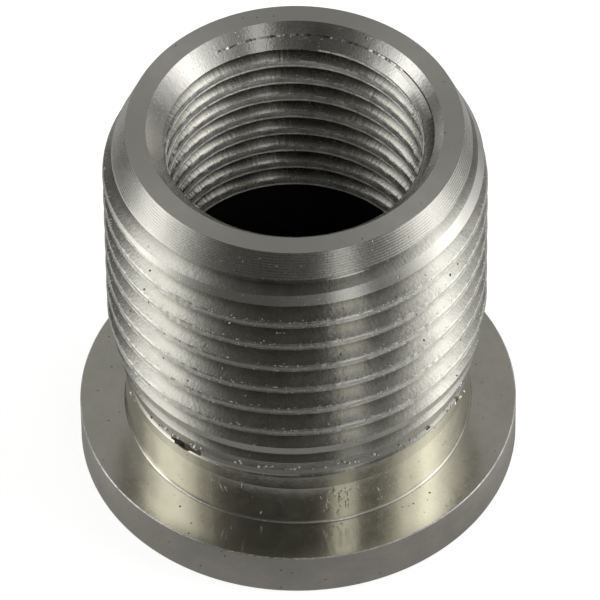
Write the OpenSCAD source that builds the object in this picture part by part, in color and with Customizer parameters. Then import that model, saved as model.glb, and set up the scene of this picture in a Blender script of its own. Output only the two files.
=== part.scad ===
/* [Flange] */
// Outside diameter of the flange
flange_d = 25.4; // [24.6:0.1:34]
// Thickness of the flange
flange_t = 2.85; // [1.5:0.05:6]
// Width of the 45 degree edge breaks on the flange
edge_break = 0.12; // [0.05:0.01:0.3]

/* [Body] */
// Height of the whole insert, flange included
total_h = 25.4; // [24:0.1:28]
// How far the plain relief stands out past the roots of the outer thread
neck_stand = 0.025; // [0.005:0.005:0.1]
// Height of the plain relief above the flange
neck_h = 3.3; // [1.5:0.1:5]
// Radius of the small fillet where the relief meets the flange
neck_fillet = 0.15; // [0.05:0.01:0.4]

/* [Outer thread] */
// Diameter over the crests of the outer thread
outer_crest_d = 21.85; // [21.5:0.05:22.1]
// Depth of the outer thread, from crest to root
outer_depth = 0.95; // [0.8:0.01:1.1]
// Pitch of the outer thread
outer_pitch = 1.8143; // [1.7:0.0001:2]
// Height above the base of one groove's middle, straight in front of the axis
outer_phase = 16.27; // [15:0.01:18]
// Height over which the crests run down to the relief at the lower end
runout_h = 4.2; // [2:0.1:6]
// Height of the low plain band between the run-out and the relief
runout_land_h = 0.8; // [0.3:0.1:1.5]
// Step in radius from the relief up to the plain band
runout_step = 0.13; // [0.05:0.01:0.3]

/* [Tip] */
// How far the tip chamfer reaches in from the crests
tip_chamfer = 1.325; // [0.8:0.005:1.6]
// Angle between the tip chamfer and the axis
tip_angle = 23; // [15:1:40]
// How far the bore's mouth chamfer reaches past the roots of the inner thread
mouth_reach = 0.49; // [0.2:0.01:0.8]

/* [Bore] */
// Wall between the roots of the outer thread and those of the inner thread
wall = 2.04; // [1.7:0.01:2.6]
// Depth of the inner thread, from crest to root
inner_depth = 0.635; // [0.5:0.005:0.75]
// Pitch of the inner thread
inner_pitch = 1.4111; // [1.3:0.0001:1.6]
// Height above the base of one groove's middle, straight behind the axis
inner_phase = 18.09; // [17:0.01:20]
// How far the wide plain bore reaches past the roots of the inner thread
counterbore_reach = 0.315; // [0.1:0.005:0.6]
// Depth of the wide plain bore
counterbore_h = 12.7; // [10:0.1:16]
// Width of the 45 degree chamfer on the wide bore's rim
counterbore_chamfer = 0.4; // [0.1:0.05:0.8]

/* [Smoothness] */
// Straight steps in one turn of a thread
turn_steps = 36; // [24:4:40]

/* [Hidden] */
$fn = 144;

// Half of the included angle of both threads
flank = 30;
// How far a cutter reaches past the surface that it cuts
over = 0.5;
// Flat at the foot of a full groove, as a share of the pitch
root_flat = 0.17;
// Turns over which a groove gets its full depth at its low end
outer_fade = 0.75;
inner_fade = 0.5;
// Share of a step by which the groove's corners stand clear of the barrel's own corners
step_shift = 0.37;

flange_r = flange_d / 2;
outer_crest_r = outer_crest_d / 2;
outer_root_r = outer_crest_r - outer_depth;
neck_r = outer_root_r + neck_stand;
tip_r = outer_crest_r - tip_chamfer;
inner_root_r = outer_root_r - wall;
inner_crest_r = inner_root_r - inner_depth;
mouth_r = inner_root_r + mouth_reach;
counterbore_r = inner_root_r + counterbore_reach;

neck_top = flange_t + neck_h;
land_r = neck_r + runout_step;
land_top = neck_top + runout_step + runout_land_h;
crest_start = land_top + runout_h;
tip_chamfer_h = tip_chamfer / tan(tip_angle);
mouth_chamfer_h = mouth_r - inner_crest_r;
// Core of the foot that stands up inside the barrel, clear of every groove
core_r = (counterbore_r + outer_root_r) / 2;
core_h = 1;

// Half profile of the flange and the relief, with a smaller core that stands inside the barrel
function foot_outline() = concat(
    [[0, 0], [flange_r - edge_break, 0], [flange_r, edge_break],
     [flange_r, flange_t - edge_break], [flange_r - edge_break, flange_t]],
    [for (k = [0 : 4])
        [neck_r + neck_fillet * (1 - sin(22.5 * k)), flange_t + neck_fillet * (1 - cos(22.5 * k))]],
    [[neck_r, neck_top], [core_r, neck_top], [core_r, neck_top + core_h], [0, neck_top + core_h]]);

// Half profile of the barrel before its threads are cut
function barrel_outline() = [
    [0, neck_top], [land_r, neck_top], [land_r, land_top], [outer_crest_r, crest_start],
    [outer_crest_r, total_h - tip_chamfer_h], [tip_r, total_h], [0, total_h]];

// Half profile of the drilled bore and its chamfered mouth
function bore_outline() = [
    [0, counterbore_h - over], [inner_crest_r, counterbore_h - over],
    [inner_crest_r, total_h - mouth_chamfer_h], [mouth_r + over, total_h + over], [0, total_h + over]];

// Half profile of the wide plain bore
function counterbore_outline() = [
    [0, -over], [counterbore_r + counterbore_chamfer + over, -over],
    [counterbore_r, counterbore_chamfer], [counterbore_r, counterbore_h], [0, counterbore_h]];

// A helical cutter that leaves one groove of a right-hand thread, open towards way (1 out, -1 in)
module groove_cutter(open_r, root_r, pitch, phase, phase_angle, z_low, z_high, fade, way) {
    first = floor((z_low - phase) / pitch * turn_steps) + step_shift;
    steps = ceil((z_high - z_low) / pitch * turn_steps) + 1;
    back_r = open_r + way * over;
    flat = root_flat * pitch;
    function foot_r(k) = back_r + (root_r - back_r) * min(1, max(0.02, k / (fade * turn_steps)));
    function half_w(r) = flat / 2 + abs(r - root_r) * tan(flank);
    function corner(r, side, turn) = [
        r * cos(phase_angle + 360 * turn), r * sin(phase_angle + 360 * turn),
        phase + pitch * turn + side * half_w(r)];
    function corners(r, turn) = [
        corner(r, -1, turn), corner(back_r, -1, turn), corner(back_r, 1, turn), corner(r, 1, turn)];
    points = [for (k = [0 : steps]) each corners(foot_r(k), (first + k) / turn_steps)];
    sides = [for (k = [0 : steps - 1], c = [0 : 3])
        let (p = 4 * k + c, q = 4 * k + (c + 1) % 4) each [[p, q, q + 4], [p, q + 4, p + 4]]];
    faces = concat(sides, [[3, 2, 1, 0], [for (c = [0 : 3]) 4 * steps + c]]);
    turned = [for (f = faces) [for (i = [len(f) - 1 : -1 : 0]) f[i]]];
    polyhedron(points = points, faces = way > 0 ? faces : turned, convexity = 10);
}

module outer_groove() {
    groove_cutter(outer_crest_r, outer_root_r, outer_pitch, outer_phase, -90,
                  neck_top, total_h + outer_pitch, outer_fade, 1);
}

module inner_groove() {
    groove_cutter(inner_crest_r, inner_root_r, inner_pitch, inner_phase, 90,
                  counterbore_h - inner_pitch, total_h + inner_pitch, inner_fade, -1);
}

// The barrel with both threads, tip chamfer and bored mouth, at its full height
module threaded_barrel() {
    resize([0, 0, total_h - neck_top])
        difference() {
            rotate_extrude($fn = turn_steps) polygon(barrel_outline());
            rotate_extrude($fn = turn_steps) polygon(bore_outline());
            outer_groove();
            inner_groove();
        }
}

module threaded_insert() {
    color("silver")
    difference() {
        union() {
            rotate_extrude() polygon(foot_outline());
            threaded_barrel();
        }
        rotate_extrude() polygon(counterbore_outline());
    }
}

threaded_insert();
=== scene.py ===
"""Looks of the threaded insert: one turned piece of bare steel with an outer and an inner thread."""

import math
import random
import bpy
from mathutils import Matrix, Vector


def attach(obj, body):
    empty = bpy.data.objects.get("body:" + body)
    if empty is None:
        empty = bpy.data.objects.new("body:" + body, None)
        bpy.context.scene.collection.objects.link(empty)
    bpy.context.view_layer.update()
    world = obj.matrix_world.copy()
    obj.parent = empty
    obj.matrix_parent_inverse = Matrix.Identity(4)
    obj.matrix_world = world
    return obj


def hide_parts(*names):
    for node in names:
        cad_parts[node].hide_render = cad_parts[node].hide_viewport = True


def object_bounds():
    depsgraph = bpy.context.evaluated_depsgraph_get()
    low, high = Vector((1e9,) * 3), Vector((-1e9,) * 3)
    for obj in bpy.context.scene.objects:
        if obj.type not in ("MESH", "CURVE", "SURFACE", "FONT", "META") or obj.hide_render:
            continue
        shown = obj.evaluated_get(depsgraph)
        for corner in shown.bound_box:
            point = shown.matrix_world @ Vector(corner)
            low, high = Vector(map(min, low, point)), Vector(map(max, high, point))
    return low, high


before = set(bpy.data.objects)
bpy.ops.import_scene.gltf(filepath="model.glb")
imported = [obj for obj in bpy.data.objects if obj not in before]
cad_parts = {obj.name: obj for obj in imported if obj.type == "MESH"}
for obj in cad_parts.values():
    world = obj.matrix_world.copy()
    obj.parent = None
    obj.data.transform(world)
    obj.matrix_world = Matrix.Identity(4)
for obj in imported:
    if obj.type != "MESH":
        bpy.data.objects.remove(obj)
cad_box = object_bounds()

from types import SimpleNamespace

import bmesh
import bpy
from mathutils import Matrix, Vector, noise

# Sizes, in millimetres as on the drawing
MM = 0.001
TURN = 2 * math.pi
STEPS = 252  # straight steps in one turn of everything that is turned

flange_r = cad_box[1].x / MM
total_h = cad_box[1].z / MM
flange_t = 2.85
edge_break = 0.07
edge_steps = 4

neck_r = 10.0
neck_top = flange_t + 3.3
neck_fillet = 0.16
land_r = neck_r + 0.13
land_top = neck_top + 0.93

outer_crest_r = 10.925
outer_root_r = 9.975
outer_pitch = 1.8143
outer_phase = 16.27  # height of a groove's middle in front, at -Y
crest_start = land_top + 4.2
tip_r = 9.6
tip_angle = math.radians(23)
tip_chamfer_h = (outer_crest_r - tip_r) / math.tan(tip_angle)

inner_crest_r = 7.3
inner_root_r = 7.935
inner_pitch = 1.4111
inner_phase = 18.09  # height of a groove's middle behind, at +Y
mouth_r = 8.425
mouth_low = total_h - (mouth_r - inner_crest_r)
counterbore_r = 8.25
counterbore_h = 12.7
counterbore_chamfer = 0.4

half_flank = math.radians(30)
root_flat = 0.17  # of the pitch
over = 0.5  # how far a cutter stands past the surface that it cuts
thread_turns = 12  # turns of each groove cutter
outer_fade = 0.4  # turns in which the outer groove gets its depth
run_out_widening = 0.3
run_out_from = 9.9

# Traces of the tools
ridge_count = 11  # tool ridges round the tip chamfer
ridge_pitch = 0.157
ridge_depth = 0.034
crest_round = 0.09  # reach of the round where a flank comes up to its crest
bore_crest_round = 0.22
burr_w = 0.06  # burr along the lower edge of every crest
burr_h = 0.022
bore_burr_h = 0.05
burr_wander = 0.02

# The photographed view leans down by this much
VIEW_DOWN = math.radians(47.73)
SIN_VIEW = math.cos(VIEW_DOWN)
COS_VIEW = math.sin(VIEW_DOWN)


def polar(r, degrees, z):
    """Point at radius r and height z; degrees count from the front, -Y, towards +X."""
    a = math.radians(degrees)
    return Vector((r * math.sin(a), -r * math.cos(a), z))


def azimuth(p):
    """Degrees from the front, -Y, towards +X, from -180 to 180."""
    return math.degrees(math.atan2(p.x, -p.y))


def made(bm, name):
    """Closes a bmesh into an object whose normals point outwards."""
    bmesh.ops.recalc_face_normals(bm, faces=bm.faces)
    mesh = bpy.data.meshes.new(name)
    bm.to_mesh(mesh)
    bm.free()
    o = bpy.data.objects.new(name, mesh)
    bpy.context.scene.collection.objects.link(o)
    return o


def loop_edges(bm, corners):
    """A closed loop of edges through the corners."""
    verts = [bm.verts.new(c) for c in corners]
    edges = [bm.edges.new((verts[k - 1], verts[k])) for k in range(len(verts))]
    return verts + edges


def turned(profile, name):
    """Turns a closed half profile of (radius, height) corners about the axis."""
    bm = bmesh.new()
    geom = loop_edges(bm, [polar(r, 0, z) for r, z in profile])
    bmesh.ops.spin(bm, geom=geom, axis=(0, 0, 1), cent=(0, 0, 0), angle=TURN, steps=STEPS, use_merge=True)
    return made(bm, name)


def cut(body, tools, operation="DIFFERENCE"):
    """Cuts the body with the tools, or joins them to it, and uses them up."""
    for tool in tools:
        m = body.modifiers.new(tool.name, "BOOLEAN")
        m.operation = operation
        m.object = tool
        m.solver = "MANIFOLD"
    shape = body.evaluated_get(bpy.context.evaluated_depsgraph_get())
    mesh = bpy.data.meshes.new_from_object(shape)
    body.modifiers.clear()
    body.data = mesh
    for tool in tools:
        bpy.data.objects.remove(tool)


# The turned body
def tip_ridges():
    """Corners of the fine tool ridges at the top of the tip chamfer, from the lowest up."""
    corners = []
    for k in range(ridge_count, 0, -1):
        for share, dip in ((0.0, 0.0), (0.3, ridge_depth), (0.7, ridge_depth)):
            z = total_h - (k - share) * ridge_pitch
            corners.append((tip_r + (total_h - z) * math.tan(tip_angle) - dip, z))
    return corners


def outside_profile():
    """The outside without its thread, from the underside's rim up to the end face."""
    corners = []
    for z_mid, start in ((edge_break, -90), (flange_t - edge_break, 0)):
        for k in range(edge_steps + 1):
            a = math.radians(start + 90 * k / edge_steps)
            corners.append((flange_r - edge_break * (1 - math.cos(a)), z_mid + edge_break * math.sin(a)))
    for k in range(7):
        a = math.radians(15 * k)
        corners.append((neck_r + neck_fillet * (1 - math.sin(a)), flange_t + neck_fillet * (1 - math.cos(a))))
    corners += [(neck_r, neck_top - 0.3), (land_r, land_top), (outer_crest_r + burr_h, crest_start)]
    corners += [(outer_crest_r + burr_h, total_h - tip_chamfer_h)]
    return corners + tip_ridges() + [(tip_r, total_h)]


def inside_profile():
    """The bore without its thread, from the mouth down to the underside."""
    crest = inner_crest_r - bore_burr_h
    return [
        (mouth_r, total_h), (crest, total_h - (mouth_r - crest)), (crest, counterbore_h),
        (counterbore_r, counterbore_h), (counterbore_r, counterbore_chamfer),
        (counterbore_r + counterbore_chamfer, 0),
    ]


def groove_corners(crest_r, root_r, pitch, way):
    """Section of one groove, open towards way (1 out, -1 in).

    Its low side ends in a round, and in a shallow pass that turns the crest down but for a
    narrow burr at the lower edge."""
    root_half = root_flat * pitch / 2
    open_half = root_half + abs(crest_r - root_r) * math.tan(half_flank)
    crest_w = pitch - 2 * open_half
    back = crest_r + way * over
    low = [(root_r, -0.45 * root_half), (root_r + way * 0.03, -root_half - 0.02)]
    reach = crest_round if way > 0 else bore_crest_round
    for k in range(6):
        share = k / 5
        drop = reach * math.cos(half_flank) * (1 - share) ** 2
        up = reach * (math.sin(half_flank) * (1 - share) ** 2 - share ** 2)
        low.append((crest_r - way * drop, -open_half + up))
    pass_end = -open_half - crest_w + burr_w
    burr = burr_h if way > 0 else bore_burr_h
    low += [(crest_r, pass_end + burr), (crest_r + way * burr * 1.1, pass_end), (back, pass_end)]
    lip = 0.03
    high = [
        (back, open_half + lip), (crest_r + way * burr * 1.1, open_half + lip),
        (crest_r - way * lip, open_half - lip * 0.4), (root_r + way * 0.03, root_half + 0.02),
        (root_r, 0.45 * root_half),
    ]
    return low + high


def groove(name, crest_r, root_r, pitch, way, start_degrees, start_z):
    """A helical cutter for a right-hand groove, whose edges wander a little as torn steel does."""
    bm = bmesh.new()
    corners = groove_corners(crest_r, root_r, pitch, way)
    geom = loop_edges(bm, [polar(r, start_degrees, start_z + z) for r, z in corners])
    rise = (0, 0, pitch / STEPS)
    bmesh.ops.spin(bm, geom=geom, axis=(0, 0, 1), cent=(0, 0, 0), dvec=rise, angle=TURN, steps=STEPS)
    one_turn = bm.verts[:] + bm.edges[:] + bm.faces[:]
    for k in range(1, thread_turns):
        copy = bmesh.ops.duplicate(bm, geom=one_turn)["geom"]
        copied = [v for v in copy if isinstance(v, bmesh.types.BMVert)]
        bmesh.ops.translate(bm, verts=copied, vec=(0, 0, k * pitch))
    bmesh.ops.remove_doubles(bm, verts=bm.verts, dist=1e-4)
    bmesh.ops.holes_fill(bm, edges=[e for e in bm.edges if e.is_boundary])
    for v in bm.verts:
        r = math.hypot(v.co.x, v.co.y)
        if abs(r - crest_r) < 0.07:
            v.co += noise.noise_vector(v.co * 2.7) * burr_wander
    return bm


def fade_in(bm, start_degrees, start_z):
    """Lifts the outer groove's foot out of the metal over its first part of a turn."""
    for v in bm.verts:
        height = (v.co.z - start_z) / outer_pitch
        turn_here = (azimuth(v.co) - start_degrees) / 360
        turn = height - ((height - turn_here + 0.5) % 1 - 0.5)
        keep = min(1.0, max(0.02, turn / outer_fade))
        r = math.hypot(v.co.x, v.co.y)
        if r < outer_crest_r and keep < 1:
            new_r = outer_crest_r + 0.1 * (1 - keep) - (outer_crest_r - r) * keep
            v.co.x *= new_r / r
            v.co.y *= new_r / r


def widen_low_turns(bm):
    """Takes the last crests' lower edges further up, so that they stay narrow where they run out."""
    for v in bm.verts:
        turn = (v.co.z - outer_phase) / outer_pitch - azimuth(v.co) / 360
        if turn - round(turn) > 0.01:
            v.co.z += run_out_widening * min(1, max(0, (run_out_from - v.co.z) / outer_pitch))


def outer_groove():
    start_z = outer_phase - outer_pitch * 5.75
    bm = groove("outer_groove", outer_crest_r, outer_root_r, outer_pitch, 1, 90, start_z)
    fade_in(bm, 90, start_z)
    widen_low_turns(bm)
    return made(bm, "outer_groove")


def inner_groove():
    start_z = inner_phase - inner_pitch * 5.5
    bm = groove("inner_groove", inner_crest_r, inner_root_r, inner_pitch, -1, 0, start_z)
    return made(bm, "inner_groove")


# Knocks, pits and burrs
def outer_r(degrees, z):
    """Radius of the threaded outside at this place."""
    turn = (z - outer_phase) / outer_pitch - degrees / 360
    from_middle = abs(turn - round(turn)) * outer_pitch
    groove_r = outer_root_r + max(0, from_middle - root_flat * outer_pitch / 2) / math.tan(half_flank)
    if z < land_top:
        up = min(1, max(0, (z - neck_top + 0.3) / (land_top - neck_top + 0.3)))
        return neck_r + up * (land_r - neck_r)
    up = min(1, (z - land_top) / (crest_start - land_top))
    return min(land_r + up * (outer_crest_r - land_r), groove_r)


def seen_at(degrees, z):
    """Where the photographed line of sight through this place of the crests' cylinder ends."""
    p = polar(outer_crest_r, degrees, z)
    sight = Vector((0, SIN_VIEW, -COS_VIEW)) * 0.02
    for step in range(200):
        if math.hypot(p.x, p.y) < outer_r(azimuth(p), p.z):
            return p
        p += sight
    return polar(outer_r(degrees, z), degrees, z)


def lump(bm, place, along, up, deep, tilt=0.0, taper=0.0, detail=2):
    """One rough closed lump at a place, with its half sizes round, up and out from the axis."""
    frame_here = Matrix.Rotation(math.radians(azimuth(place)), 4, "Z")
    lean = Matrix.Rotation(math.radians(-tilt), 4, "Y")
    verts = bmesh.ops.create_icosphere(bm, subdivisions=detail, radius=1)["verts"]
    for v in verts:
        v.co.z *= 1 - taper * v.co.x
    bmesh.ops.scale(bm, verts=verts, vec=(along, deep, up))
    rough = 0.3 * min(along, up, deep)
    for v in verts:
        v.co += noise.noise_vector((v.co + place) * (0.6 / min(along, up, deep))) * rough
    bmesh.ops.transform(bm, matrix=Matrix.Translation(place) @ frame_here @ lean, verts=verts)


# Degrees and height of each knock on the thread, as seen on the crests' cylinder, with its half
# sizes round, up and inwards, its tilt and its taper
KNOCKS = (
    (-36.9, 8.1, 1.1, 0.2, 0.4, 2, 0.5),
    (56.5, 8.77, 0.28, 0.36, 0.26, 20, 0.3),
    (52.5, 20.19, 0.16, 0.05, 0.07, 30, 0),
    (-21, 20.4, 0.2, 0.1, 0.08, 0, 0),
    (-5, 20.2, 0.26, 0.09, 0.08, 0, 0),
    (74, 9.75, 0.3, 0.05, 0.1, 35, 0),
    (76, 9.6, 0.3, 0.04, 0.1, 35, 0),
)
# Degrees and height of the small pits on the thread
PITS = (
    (-49, 21.46), (-52, 19.43), (-50, 18.67), (-37.5, 17.15), (-51, 11.49), (30.5, 21.46), (41, 16.51),
    (-44, 14.9), (-60, 16.2), (38, 19.1), (47, 13.6), (-33, 22.3),
)
# Degrees and height of the ring-shaped pit
RING_PIT = (-28.5, 17.59)
# Degrees, height and half sizes of the knocks on the inner thread's crests
BORE_KNOCKS = ((215, 22.54, 0.1, 0.12, 0.12), (135, 20.83, 0.2, 0.1, 0.14), (242, 21.2, 0.05, 0.3, 0.08))


def neck_marks(bm, raised):
    """Scratches up the neck, most of them right of the front: the raised or the sunk ones."""
    pick = random.Random(6)
    for k in range(42):
        degrees = pick.gauss(12.5, 3) if k < 30 else pick.uniform(-32, 34)
        z = pick.uniform(flange_t + 0.7, neck_top - 0.5)
        up, tilt = pick.uniform(0.06, 0.3), pick.uniform(-25, 25)
        if raised == (k % 3 > 0):
            lump(bm, polar(neck_r, degrees, z), 0.035, up, 0.035, tilt)


def knocks():
    """Everything that was knocked or torn out of the metal, as one tool."""
    bm = bmesh.new()
    for degrees, z, along, up, deep, tilt, taper in KNOCKS:
        lump(bm, seen_at(degrees, z), along, up, deep, tilt, taper, detail=3)
    for degrees, z in PITS:
        lump(bm, seen_at(degrees, z), 0.075, 0.075, 0.08)
    for degrees, z, along, up, deep in BORE_KNOCKS:
        lump(bm, polar(inner_crest_r, degrees, z), along, up, deep)
    neck_marks(bm, raised=False)
    pick = random.Random(4)
    for k in range(34):  # pits in the flange, on its seat and its rim
        degrees = pick.uniform(-180, 180)
        size = pick.uniform(0.03, 0.07)
        if k % 3:
            lump(bm, polar(pick.uniform(neck_r + 0.5, flange_r - 0.3), degrees, flange_t), size, size, size)
        else:
            lump(bm, polar(flange_r, degrees, pick.uniform(0.3, 2.5)), size, size, size)
    return made(bm, "knocks")


def ring_pit():
    """A flat ring pressed into the flank."""
    place = seen_at(*RING_PIT)
    bm = bmesh.new()
    section = bmesh.ops.create_circle(bm, segments=6, radius=0.045, matrix=Matrix.Translation((0.12, 0, 0)))
    geom = section["verts"] + bm.edges[:]
    bmesh.ops.spin(bm, geom=geom, axis=(0, 1, 0), cent=(0, 0, 0), angle=TURN, steps=18, use_merge=True)
    bmesh.ops.scale(bm, verts=bm.verts, vec=(0.8, 1.3, 1.5))
    aim = Matrix.Rotation(math.radians(azimuth(place)), 4, "Z") @ Matrix.Rotation(math.radians(-60), 4, "X")
    bmesh.ops.transform(bm, matrix=Matrix.Translation(place) @ aim, verts=bm.verts)
    return made(bm, "ring_pit")


def mouth_tear():
    """The torn end of the inner groove, which scores the mouth's chamfer behind."""
    r, half = 7.86, 0.09
    z = mouth_low + r - inner_crest_r
    bm = bmesh.new()
    geom = loop_edges(bm, [polar(r + c, 128, z + d) for c, d in ((-half, 0), (0, -half), (half, 0), (0, half))])
    bmesh.ops.spin(bm, geom=geom, axis=(0, 0, 1), cent=(0, 0, 0), angle=math.radians(86), steps=150)
    bmesh.ops.holes_fill(bm, edges=[e for e in bm.edges if e.is_boundary])
    for v in bm.verts:
        v.co += noise.noise_vector(v.co * 1.9) * 0.05 + noise.noise_vector(v.co * 5.3) * 0.025
    return made(bm, "mouth_tear")


def burr_beads():
    """Beads of torn steel along the last full crest and over the first one, as one tool."""
    pick = random.Random(11)
    bm = bmesh.new()
    bright = (-44, -41, -33, 15, 23, 32)
    for degrees in bright + tuple(pick.uniform(-72, 64) for k in range(58)):
        z = 8.72 + pick.uniform(-0.12, 0.1)
        size = 0.12 if degrees in bright else pick.uniform(0.055, 0.09)
        lump(bm, seen_at(degrees, z), size * 1.2, size, size, detail=1)
    for degrees, z in ((107, 24.2), (112, 24.25), (287, 24.5), (293, 24.45)):
        lump(bm, polar(inner_crest_r + z - mouth_low, degrees, z), 0.07, 0.05, 0.05, detail=1)
    neck_marks(bm, raised=True)
    return made(bm, "burr_beads")


def round_normals(mesh):
    """Gives every corner its face's normal, turned about the axis to the corner's own place.

    A turned or helical surface then shades as smoothly round the axis as the real one, and
    keeps its edges."""
    normals = []
    for face in mesh.polygons:
        c, n = face.center, face.normal
        for li in face.loop_indices:
            p = mesh.vertices[mesh.loops[li].vertex_index].co
            angle = math.atan2(p.y * c.x - p.x * c.y, p.x * c.x + p.y * c.y)
            s, t = math.sin(angle), math.cos(angle)
            normals.append((n.x * t - n.y * s, n.x * s + n.y * t, n.z))
    mesh.shade_smooth()
    mesh.normals_split_custom_set(normals)


# Node helpers
def add(tree, kind, **settings):
    """A new node with these settings."""
    n = tree.nodes.new("ShaderNode" + kind)
    for k, v in settings.items():
        setattr(n, k, v)
    return n


def put(tree, value, socket):
    """Sets a socket to a value, or links it to another socket."""
    if isinstance(value, bpy.types.NodeSocket):
        tree.links.new(value, socket)
    else:
        socket.default_value = value


def calc(tree, operation, *values):
    """Result of one Math node."""
    n = add(tree, "Math", operation=operation)
    for k, v in enumerate(values):
        put(tree, v, n.inputs[k])
    return n.outputs[0]


def eased(tree, value, low, high, to_low=0.0, to_high=1.0):
    """The value mapped smoothly from low..high to to_low..to_high."""
    n = add(tree, "MapRange", interpolation_type="SMOOTHSTEP")
    for k, v in enumerate((value, low, high, to_low, to_high)):
        put(tree, v, n.inputs[k])
    return n.outputs[0]


def blended(tree, share, first, second):
    """First where the share is 0, second where it is 1."""
    return calc(tree, "ADD", calc(tree, "MULTIPLY", calc(tree, "SUBTRACT", 1, share), first),
                calc(tree, "MULTIPLY", share, second))


def levels(tree, degrees, stops, top):
    """Light level round the axis: stops are (degrees from the front, level), up to top."""
    ramp = add(tree, "ValToRGB")
    ramp.color_ramp.interpolation = "EASE"
    elements = ramp.color_ramp.elements
    while len(elements) < len(stops):
        elements.new(0.5)
    for e, (angle, level) in zip(elements, stops):
        e.position = angle / 360 + 0.5
        e.color = (level / top,) * 3 + (1,)
    put(tree, calc(tree, "MULTIPLY_ADD", degrees, 1 / 360, 0.5), ramp.inputs[0])
    return calc(tree, "MULTIPLY", ramp.outputs[0], top)


# Materials
STEEL = (0.59, 0.58, 0.52)
WARM_STEEL = (0.64, 0.625, 0.54)


def here(tree):
    """The place on the insert in millimetres: the whole vector, x, y, z and the radius r."""
    scaled = add(tree, "VectorMath", operation="SCALE")
    put(tree, add(tree, "TexCoord").outputs["Object"], scaled.inputs[0])
    scaled.inputs["Scale"].default_value = 1 / MM
    parts = add(tree, "SeparateXYZ")
    put(tree, scaled.outputs[0], parts.inputs[0])
    x, y, z = parts.outputs
    r = calc(tree, "SQRT", calc(tree, "ADD", calc(tree, "MULTIPLY", x, x), calc(tree, "MULTIPLY", y, y)))
    return SimpleNamespace(mm=scaled.outputs[0], x=x, y=y, z=z, r=r)


def streaks(tree, at, round_scale, out_scale, up_scale, detail=2.0):
    """Seamless noise, from -0.5 to 0.5, with its own scale round the axis, outwards and upwards."""
    n = add(tree, "TexNoise", noise_dimensions="4D")
    n.inputs["Scale"].default_value = 1
    n.inputs["Detail"].default_value = detail
    vector = add(tree, "CombineXYZ")
    for k, side in enumerate((at.x, at.y)):
        put(tree, calc(tree, "MULTIPLY", calc(tree, "DIVIDE", side, at.r), round_scale), vector.inputs[k])
    put(tree, calc(tree, "MULTIPLY", at.z, up_scale), vector.inputs[2])
    put(tree, vector.outputs[0], n.inputs["Vector"])
    put(tree, calc(tree, "MULTIPLY", at.r, out_scale), n.inputs["W"])
    return calc(tree, "SUBTRACT", n.outputs[0], 0.5)


def specks(tree, at, size, share):
    """Mask of scattered round specks: share of the cells of this size that hold one."""
    cells = add(tree, "TexVoronoi")
    put(tree, at.mm, cells.inputs["Vector"])
    cells.inputs["Scale"].default_value = 1 / size
    color = add(tree, "SeparateColor")
    put(tree, cells.outputs["Color"], color.inputs[0])
    chosen = calc(tree, "LESS_THAN", color.outputs[0], share)
    return calc(tree, "MULTIPLY", chosen, eased(tree, cells.outputs["Distance"], 0.5, 0.15))


def steel(name, color=STEEL, roughness=0.26, lay=0.9, metallic=1.0, lines=0.0, grain=0.0, chatter=0.0,
          glint=0.0, glint_share=0.1, glint_from=None, dark_speck_share=0.004, mottle=0.12, painted_root_shade=None):
    """Bare steel with tool marks round the axis.

    lay is how much sharper it mirrors round the axis than across. lines, grain, chatter and
    glint are the heights in millimetres of turned lines, fine grain, marks along the axis and
    scattered specks; the glint specks also lighten the colour, a painted highlight. glint_from and
    painted_root_shade are (radius, radius, ...) between which the specks come in and the colour
    goes from its darkest share to full, a painted shade towards the groove roots."""
    material = bpy.data.materials.new(name)
    material.use_nodes = True
    tree = material.node_tree
    shader = tree.nodes["Principled BSDF"]
    shader.inputs["Metallic"].default_value = metallic
    shader.inputs["Anisotropic"].default_value = lay
    shader.inputs["Anisotropic Rotation"].default_value = 0.25
    put(tree, add(tree, "Tangent", direction_type="RADIAL", axis="Z").outputs[0], shader.inputs["Tangent"])

    at = here(tree)
    cloud = streaks(tree, at, 9, 0.9, 0.9, 2)
    fine = streaks(tree, at, 60, 6, 6, 1)
    share = glint_share
    if glint_from:
        share = calc(tree, "MULTIPLY", eased(tree, at.r, *glint_from), glint_share)
    bright = specks(tree, at, 0.085, share)
    dark_specks = specks(tree, at, 0.16, dark_speck_share)

    height = calc(tree, "MULTIPLY", fine, grain)
    if lines:
        turned_lines = streaks(tree, at, 2.5, 11, 11, 1)
        height = calc(tree, "ADD", height, calc(tree, "MULTIPLY", turned_lines, lines))
    if chatter:
        marks = streaks(tree, at, 48, 0.6, 0.6, 1)
        height = calc(tree, "ADD", height, calc(tree, "MULTIPLY", marks, chatter))
    if glint:
        height = calc(tree, "ADD", height, calc(tree, "MULTIPLY", bright, glint))
    height = calc(tree, "SUBTRACT", height, calc(tree, "MULTIPLY", dark_specks, 0.02))
    bump = add(tree, "Bump")
    bump.inputs["Distance"].default_value = MM
    put(tree, height, bump.inputs["Height"])
    put(tree, bump.outputs[0], shader.inputs["Normal"])

    tone = calc(tree, "MULTIPLY_ADD", cloud, mottle * 2, 1)
    tone = calc(tree, "MULTIPLY_ADD", fine, mottle, tone)
    # Darker towards the roots of the grooves: painted shade.
    if painted_root_shade:
        tone = calc(tree, "MULTIPLY", tone, eased(tree, at.r, *painted_root_shade))
    # Glint specks lighten the colour too: painted highlights on top of their real bump.
    tone = calc(tree, "MULTIPLY_ADD", bright, 0.45 if glint else 0.0, tone)
    # Dark sunk specks darken the colour.
    tone = calc(tree, "MULTIPLY", tone, calc(tree, "MULTIPLY_ADD", dark_specks, -0.75, 1))
    tinted = add(tree, "VectorMath", operation="SCALE")
    tinted.inputs[0].default_value = color
    put(tree, tone, tinted.inputs["Scale"])
    put(tree, tinted.outputs[0], shader.inputs["Base Color"])

    rough = calc(tree, "MULTIPLY_ADD", cloud, 0.12, roughness)
    put(tree, calc(tree, "MULTIPLY_ADD", fine, 0.1, rough), shader.inputs["Roughness"])
    return material


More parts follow.
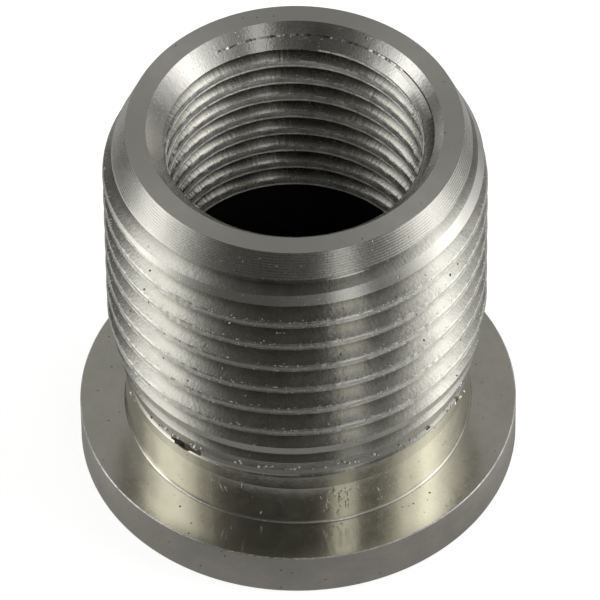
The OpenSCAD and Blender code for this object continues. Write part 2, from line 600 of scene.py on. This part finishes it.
def finishes():
    """Every finish of the one piece of steel, by the zone that it is found on."""
    return {
        # The outer thread darkens towards its groove roots: painted shade.
        "outer_thread": steel("outer_thread", roughness=0.24, lay=0.85, lines=0.003, grain=0.006, glint=0.012,
                              glint_share=0.18, glint_from=(10.66, 10.95), painted_root_shade=(10.0, 10.6, 0.7, 1.0),
                              mottle=0.24),
        "tip_chamfer": steel("tip_chamfer", color=(0.56, 0.55, 0.5), roughness=0.27, lay=0.8, lines=0.0035,
                             grain=0.003, glint=0.006, glint_share=0.015, mottle=0.16),
        "end_face": steel("end_face", roughness=0.36, lay=0.75, lines=0.0012, grain=0.002, mottle=0.06),
        "mouth": steel("mouth", color=(0.64, 0.63, 0.58), roughness=0.24, lay=0.85, lines=0.003, grain=0.007,
                       glint=0.008, glint_share=0.02, mottle=0.24),
        # The inner thread darkens towards its groove roots: painted shade.
        "bore_flank": steel("bore_flank", roughness=0.26, lay=0.85, chatter=0.012, grain=0.003, glint=0.012,
                            glint_share=0.03, mottle=0.2, painted_root_shade=(7.85, 7.45, 0.5, 1.0)),
        "bore_crest": steel("bore_crest", color=(0.95, 0.94, 0.88), roughness=0.45, lay=0.3, metallic=0.5,
                            chatter=0.04, grain=0.022, glint=0.02, glint_share=0.2, mottle=0.7),
        # Dark: painted shade inside the plain bore.
        "plain_bore_shade": steel("plain_bore_shade", color=(0.2, 0.2, 0.19), roughness=0.45, lay=0.5, lines=0.003),
        "neck": steel("neck", color=(0.74, 0.72, 0.62), roughness=0.17, lay=0.8, lines=0.0008, grain=0.0025,
                      glint=0.008, glint_share=0.03, mottle=0.16),
        "seat": steel("seat", color=WARM_STEEL, roughness=0.17, lay=0.8, lines=0.0006, grain=0.0015,
                      dark_speck_share=0.01, mottle=0.12),
        "rim": steel("rim", color=(0.47, 0.455, 0.4), roughness=0.55, lay=0.0, grain=0.007, lines=0.003,
                     dark_speck_share=0.01, mottle=0.2),
        # Light colour and many glints: painted highlight on the real burrs, beads and raised scratches and
        # along the flange's top edge.
        "burred_edge_highlight": steel("burred_edge_highlight", color=(0.8, 0.79, 0.75), roughness=0.35, lay=0.2, grain=0.015,
                             glint=0.03, glint_share=0.4, mottle=0.8),
        # Near black: painted shade deep inside the larger knocks.
        "knock_shade": steel("knock_shade", color=(0.16, 0.155, 0.13), roughness=0.6, lay=0.0, grain=0.01, mottle=0.5),
    }


def knocked(c, deep_knocks):
    """Whether a place lies inside one of the larger knocks."""
    return any((c - p).length < reach for p, reach in deep_knocks) and (
        math.hypot(c.x, c.y) < outer_r(azimuth(c), c.z) - 0.09)


def zone_of(face):
    """Names the zone that a face of the insert, in millimetres, belongs to."""
    c, n = face.center, face.normal
    r = math.hypot(c.x, c.y)
    if c.z < 0.02:
        return "end_face"
    if r > flange_r - edge_break and c.z > flange_t - edge_break and n.z > 0.3:
        return "burred_edge_highlight"
    if r > flange_r - edge_break - 0.01:
        return "seat" if n.z > 0.95 else "rim"
    if c.z < flange_t + 0.01:
        return "seat" if r > neck_r else "plain_bore_shade"
    if c.z > total_h - 0.001:
        return "end_face"
    if r < (inner_root_r + outer_root_r) / 2:
        if c.z < counterbore_h + 0.01:
            return "plain_bore_shade"
        if c.z > mouth_low and abs(r - inner_crest_r - c.z + mouth_low) < 0.1 and n.z > 0.6:
            return "mouth"
        return "bore_crest" if r < inner_crest_r + 0.045 else "bore_flank"
    if flange_t + 0.4 < c.z < neck_top - 0.31 and r > neck_r + 0.008:
        return "burred_edge_highlight"
    if 7.2 < c.z < 9.2 and r > outer_r(azimuth(c), c.z) + 0.02 and r > land_r + 0.1:
        return "burred_edge_highlight"
    if c.z < land_top and r > outer_root_r + 0.01 and abs(n.z) < 0.9:
        return "neck"
    if c.z > total_h - tip_chamfer_h and r > tip_r + (total_h - c.z) * math.tan(tip_angle) - 0.03:
        return "tip_chamfer"
    return "outer_thread"


def insert():
    body = turned(outside_profile() + inside_profile(), "threaded_insert_turned")
    cut(body, [outer_groove(), inner_groove()])
    cut(body, [burr_beads()], "UNION")
    cut(body, [knocks(), ring_pit(), mouth_tear()])
    zones = finishes()
    order = list(zones)
    body.data.materials.clear()
    for name in order:
        body.data.materials.append(zones[name])
    # Faces deep inside the two larger knocks take a near-black finish: painted shade in those hollows.
    deep_knocks = [(seen_at(degrees, z), along) for degrees, z, along, *rest in KNOCKS[:2]]
    for face in body.data.polygons:
        zone = zone_of(face)
        if zone in ("outer_thread", "neck") and knocked(face.center, deep_knocks):
            zone = "knock_shade"
        face.material_index = order.index(zone)
    round_normals(body.data)
    body.data.transform(Matrix.Scale(MM, 4))
    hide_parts("threaded_insert")
    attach(body, "root")
    return body


# Light round the axis: two large soft lamps at the sides, a narrow one right of the front, a
# dark room in front and grey walls behind. The degrees are those at which an upright wall of
# the insert shows the light to the photograph's viewpoint. Low is the light from near the
# horizon, side from half-way up, high from overhead, and floor the light painted on the paper.
LOW_LIGHT = (
    (-180, 0.4), (-86, 0.12), (-74, 0.22), (-66, 0.6), (-59, 1.9), (-52, 2.3), (-45, 1.1), (-34, 0.27),
    (-24, 0.12), (-8, 0.14), (2, 0.22), (10, 0.42), (16, 0.58), (24, 0.4), (32, 0.62), (40, 1.2), (49, 2.5),
    (56, 1.7), (65, 0.75), (78, 0.32), (180, 0.4),
)
SIDE_LIGHT = (
    (-180, 0.38), (-80, 0.36), (-66, 0.42), (-58, 0.8), (-51, 1.7), (-45, 2.2), (-39, 1.6), (-33, 0.6),
    (-26, 0.14), (-19, 0.05), (-8, 0.015), (4, 0.02), (9, 0.08), (12.5, 1.4), (17, 1.55), (20.5, 0.14),
    (26, 0.08), (31, 0.32), (39, 1.6), (48, 2.7), (55, 1.6), (63, 0.85), (74, 0.45), (180, 0.38),
)
HIGH_LIGHT = (
    (-180, 0.33), (-80, 0.33), (-66, 0.38), (-57, 0.52), (-49, 0.74), (-42, 0.62), (-34, 0.3),
    (-25, 0.12), (-14, 0.065), (0, 0.06), (8, 0.09), (13, 0.3), (17, 0.34), (21, 0.2), (26, 0.24), (32, 0.46), (40, 0.8),
    (48, 0.92), (56, 0.7), (64, 0.52), (74, 0.4), (180, 0.33),
)
FLOOR_LIGHT = (
    (-180, 0.4), (-80, 0.33), (-64, 0.46), (-50, 0.95), (-42, 0.88), (-33, 0.4), (-24, 0.21),
    (-8, 0.17), (4, 0.19), (14, 0.4), (24, 0.36), (32, 0.54), (40, 0.9), (48, 1.2), (56, 0.95),
    (64, 0.66), (74, 0.42), (180, 0.4),
)
BRIGHTEST = 2.7
BACK_WALL = 0.4
PAPER_GLOW = 0.75
RIM_GLOW = 0.37
FAR_GLOW = 0.27


def ray_parts(tree):
    """Sockets of camera rays, and of the rays by which metal and glass see the surroundings."""
    path = add(tree, "LightPath")
    mirror = calc(tree, "MAXIMUM", path.outputs["Is Glossy Ray"], path.outputs["Is Transmission Ray"])
    return path.outputs["Is Camera Ray"], mirror


def paper_shine(tree):
    """What metal sees of the paper: the lamps' pattern painted on it near the insert, white far behind it."""
    at = here(tree)
    angle = calc(tree, "ARCTAN2", at.x, calc(tree, "MULTIPLY", at.y, -1))
    spread = calc(tree, "DIVIDE", at.r, calc(tree, "MULTIPLY_ADD", at.r, 2, -outer_crest_r))
    spread = calc(tree, "ADD", spread, eased(tree, at.r, 60, 300, 0, 0.11))
    degrees = calc(tree, "MULTIPLY", calc(tree, "MULTIPLY", angle, spread), math.degrees(1))
    near = levels(tree, degrees, FLOOR_LIGHT, BRIGHTEST)
    beyond = levels(tree, degrees, SIDE_LIGHT, BRIGHTEST)
    far = eased(tree, at.r, 150, 400)
    beyond = blended(tree, far, beyond, calc(tree, "MULTIPLY_ADD", beyond, 0.6, FAR_GLOW))
    shine = blended(tree, eased(tree, at.r, 32, 60), near, beyond)
    shine = blended(tree, eased(tree, at.r, 18.5, 15.5), shine, RIM_GLOW)
    return blended(tree, eased(tree, at.y, 100, 400), shine, 1), at.r


def white_paper():
    """White paper that keeps the insert's shadow, and is dark under the insert, where its glow is taken out as
    painted shade.
    """
    material = bpy.data.materials.new("white_paper")
    material.use_nodes = True
    tree = material.node_tree
    tree.nodes.clear()
    camera_ray, mirror_ray = ray_parts(tree)
    shine, r = paper_shine(tree)
    for_camera = calc(tree, "MULTIPLY", camera_ray, PAPER_GLOW)
    strength = calc(tree, "MAXIMUM", for_camera, calc(tree, "MULTIPLY", mirror_ray, shine))
    strength = calc(tree, "MULTIPLY", strength, eased(tree, r, counterbore_r + 0.5, flange_r - 0.5))
    glow = add(tree, "Emission")
    put(tree, strength, glow.inputs["Strength"])
    diffuse = add(tree, "BsdfDiffuse")
    diffuse.inputs["Color"].default_value = (0.8, 0.8, 0.8, 1)
    paper = add(tree, "AddShader")
    put(tree, diffuse.outputs[0], paper.inputs[0])
    put(tree, glow.outputs[0], paper.inputs[1])
    mix = add(tree, "MixShader")
    put(tree, mirror_ray, mix.inputs[0])
    put(tree, paper.outputs[0], mix.inputs[1])
    put(tree, glow.outputs[0], mix.inputs[2])
    put(tree, mix.outputs[0], add(tree, "OutputMaterial").inputs["Surface"])
    return material


def floor():
    bm = bmesh.new()
    bmesh.ops.create_circle(bm, cap_ends=True, segments=64, radius=3)
    o = made(bm, "floor")
    o.data.materials.append(white_paper())


def camera():
    """Stands where the photograph was taken from."""
    away, up = -0.3489, 0.3948
    yaw, roll = math.radians(0.03), math.radians(0.72)
    level = Vector((math.sin(yaw), math.cos(yaw), 0))
    ahead = level * math.cos(VIEW_DOWN) - Vector((0, 0, math.sin(VIEW_DOWN)))
    right = ahead.cross(Vector((0, 0, 1))).normalized()
    down = ahead.cross(right)
    right_rolled = math.cos(roll) * right + math.sin(roll) * down
    down_rolled = -math.sin(roll) * right + math.cos(roll) * down
    data = bpy.data.cameras.new("camera")
    data.sensor_width = 36
    data.lens = 540
    data.clip_start, data.clip_end = 0.01, 10
    o = bpy.data.objects.new("camera", data)
    turn = Matrix((right_rolled, -down_rolled, -ahead)).transposed()
    o.matrix_world = Matrix.Translation((0, away, up)) @ turn.to_4x4()
    bpy.context.scene.collection.objects.link(o)
    bpy.context.scene.camera = o


def studio():
    """The room: white behind for the camera, lamps and walls for everything else."""
    world = bpy.data.worlds.new("studio")
    world.use_nodes = True
    bpy.context.scene.world = world
    tree = world.node_tree
    tree.nodes.clear()
    way = add(tree, "TexCoord").outputs["Generated"]
    parts = add(tree, "SeparateXYZ")
    put(tree, way, parts.inputs[0])
    x, y, z = parts.outputs
    angle = calc(tree, "ARCTAN2", x, calc(tree, "SUBTRACT", SIN_VIEW, y))
    degrees = calc(tree, "MULTIPLY", angle, math.degrees(1))
    low, side, high = (levels(tree, degrees, stops, BRIGHTEST) for stops in (LOW_LIGHT, SIDE_LIGHT, HIGH_LIGHT))
    light = blended(tree, eased(tree, z, 0.64, 0.74), low, side)
    light = blended(tree, eased(tree, z, 0.75, 0.9), light, high)
    towards = add(tree, "VectorMath", operation="DOT_PRODUCT")
    put(tree, way, towards.inputs[0])
    towards.inputs[1].default_value = (0, SIN_VIEW, COS_VIEW)
    light = blended(tree, eased(tree, towards.outputs["Value"], 0.85, 0.97), light, BACK_WALL)
    camera_ray, mirror_ray = ray_parts(tree)
    horizon = calc(tree, "MULTIPLY", eased(tree, z, 0.1, 0.02), eased(tree, y, 0.2, 0.6))
    white = calc(tree, "MAXIMUM", camera_ray, calc(tree, "MULTIPLY", mirror_ray, horizon))
    back = add(tree, "Background")
    put(tree, blended(tree, white, light, 1), back.inputs["Strength"])
    put(tree, back.outputs[0], add(tree, "OutputWorld").inputs["Surface"])


insert()
floor()
camera()
studio()
bpy.context.scene.view_settings.view_transform = "Standard"
